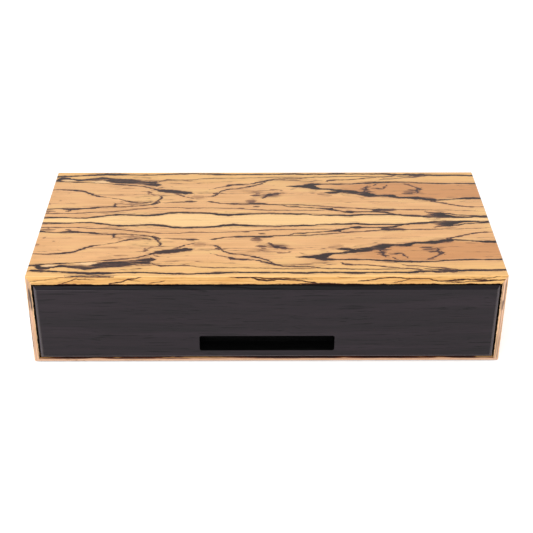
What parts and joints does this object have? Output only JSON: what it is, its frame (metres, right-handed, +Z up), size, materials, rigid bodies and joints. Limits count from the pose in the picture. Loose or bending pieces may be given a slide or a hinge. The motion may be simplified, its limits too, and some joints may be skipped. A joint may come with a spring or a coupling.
{
  "type": "cigar humidor",
  "caption": "Low desk humidor: veneered case with mitred corners and one cedar drawer on ball slides, with divider, hygrometer and humidifier.",
  "frame": {"origin": "middle of the case's footprint, on the surface that the humidor stands on", "axes": "+X to the right of someone who looks at the drawer front, -Y out of the front, +Z up"},
  "size_m": [0.4, 0.1948, 0.0872],
  "materials": {
    "veneer": "high gloss lacquer over pale veneer with black lines",
    "case_board": "sanded",
    "lipping": "gloss lacquer",
    "front_wood": "black stain on open grain, satin",
    "cedar": "bare, planed",
    "felt": "short pile",
    "seal_rubber": "matt",
    "slide_steel": "zinc plated",
    "cage_steel": "plain rolled",
    "ball_steel": "polished",
    "screw_steel": "zinc plated",
    "brass": "polished and lacquered",
    "dial_enamel": "satin white",
    "coil_metal": "rolled strip",
    "needle_paint": "black",
    "spindle_steel": "turned",
    "glass": "clear",
    "black_plastic": "fine moulded texture",
    "foam": "open cells"
  },
  "bodies": {
    "case": {"top_board": "case_board", "bottom_board": "case_board", "left_board": "case_board", "right_board": "case_board", "back_board": "case_board", "top_veneer_front_leaf": "veneer", "top_veneer_rear_leaf": "veneer", "left_veneer": "veneer", "right_veneer": "veneer", "back_veneer": "veneer", "top_lipping": "lipping", "bottom_lipping": "lipping", "left_lipping": "lipping", "right_lipping": "lipping", "base_felt": "felt", "ceiling_lining": "cedar", "floor_lining": "cedar", "back_lining": "cedar", "left_lining": "cedar", "right_lining": "cedar", "left_outer_rail": "slide_steel", "right_outer_rail": "slide_steel", "outer_rail_screws": "screw_steel"},
    "drawer": {"drawer_front": "front_wood", "drawer_seal": "seal_rubber", "drawer_inner_front": "cedar", "drawer_back": "cedar", "drawer_left_side": "cedar", "drawer_right_side": "cedar", "drawer_bottom": "cedar", "bay_partition": "cedar", "hygrometer_block": "cedar", "left_inner_rail": "slide_steel", "right_inner_rail": "slide_steel", "inner_rail_screws": "screw_steel", "front_screws": "screw_steel"},
    "left_middle_rail": {"left_middle_rail": "slide_steel"},
    "left_outer_stage": {"left_outer_cage": "cage_steel", "left_outer_balls": "ball_steel"},
    "left_inner_stage": {"left_inner_cage": "cage_steel", "left_inner_balls": "ball_steel"},
    "right_middle_rail": {"right_middle_rail": "slide_steel"},
    "right_outer_stage": {"right_outer_cage": "cage_steel", "right_outer_balls": "ball_steel"},
    "right_inner_stage": {"right_inner_cage": "cage_steel", "right_inner_balls": "ball_steel"},
    "divider": {"divider": "cedar"},
    "hygrometer": {"hygrometer_cup": "brass", "hygrometer_bezel": "brass", "hygrometer_glass": "glass", "hygrometer_dial": "dial_enamel", "humidity_coil": "coil_metal", "coil_post": "brass"},
    "needle": {"hygrometer_needle": "needle_paint", "hygrometer_spindle": "spindle_steel"},
    "humidifier": {"humidifier_tray": "black_plastic", "humidifier_foam": "foam"},
    "humidifier_cover": {"humidifier_cover": "black_plastic"}
  },
  "joints": [
    {"name": "drawer_slide", "type": "slide", "parent": "case", "child": "drawer", "axis": [0, -1, 0], "range_m": [0, 0.15]},
    {"name": "left_middle_rail_slide", "type": "slide", "parent": "case", "child": "left_middle_rail", "axis": [0, -1, 0], "range_m": [0, 0.075]},
    {"name": "left_outer_stage_roll", "type": "slide", "parent": "case", "child": "left_outer_stage", "axis": [0, -1, 0], "range_m": [0, 0.0375]},
    {"name": "left_inner_stage_roll", "type": "slide", "parent": "case", "child": "left_inner_stage", "axis": [0, -1, 0], "range_m": [0, 0.1125]},
    {"name": "right_middle_rail_slide", "type": "slide", "parent": "case", "child": "right_middle_rail", "axis": [0, -1, 0], "range_m": [0, 0.075]},
    {"name": "right_outer_stage_roll", "type": "slide", "parent": "case", "child": "right_outer_stage", "axis": [0, -1, 0], "range_m": [0, 0.0375]},
    {"name": "right_inner_stage_roll", "type": "slide", "parent": "case", "child": "right_inner_stage", "axis": [0, -1, 0], "range_m": [0, 0.1125]},
    {"name": "divider_slide", "type": "slide", "parent": "drawer", "child": "divider", "axis": [1, 0, 0], "range_m": [-0.134, 0.134]},
    {"name": "hygrometer_lift", "type": "slide", "parent": "drawer", "child": "hygrometer", "axis": [0, 0, 1], "range_m": [0, 0.02]},
    {"name": "needle_turn", "type": "hinge", "parent": "hygrometer", "child": "needle", "pos_m": [0.1403, -0.0428, 0.0437], "axis": [0, 0, 1], "range_deg": [-81, 189]},
    {"name": "humidifier_lift", "type": "slide", "parent": "drawer", "child": "humidifier", "axis": [0, 0, 1], "range_m": [0, 0.022]},
    {"name": "cover_lift", "type": "slide", "parent": "humidifier", "child": "humidifier_cover", "axis": [0, 0, 1], "range_m": [0, 0.008]}
  ],
  "couplings": [
    {"joint": "left_middle_rail_slide", "follows": "drawer_slide", "ratio": 0.5},
    {"joint": "left_outer_stage_roll", "follows": "drawer_slide", "ratio": 0.25},
    {"joint": "left_inner_stage_roll", "follows": "drawer_slide", "ratio": 0.75},
    {"joint": "right_middle_rail_slide", "follows": "drawer_slide", "ratio": 0.5},
    {"joint": "right_outer_stage_roll", "follows": "drawer_slide", "ratio": 0.25},
    {"joint": "right_inner_stage_roll", "follows": "drawer_slide", "ratio": 0.75}
  ]
}
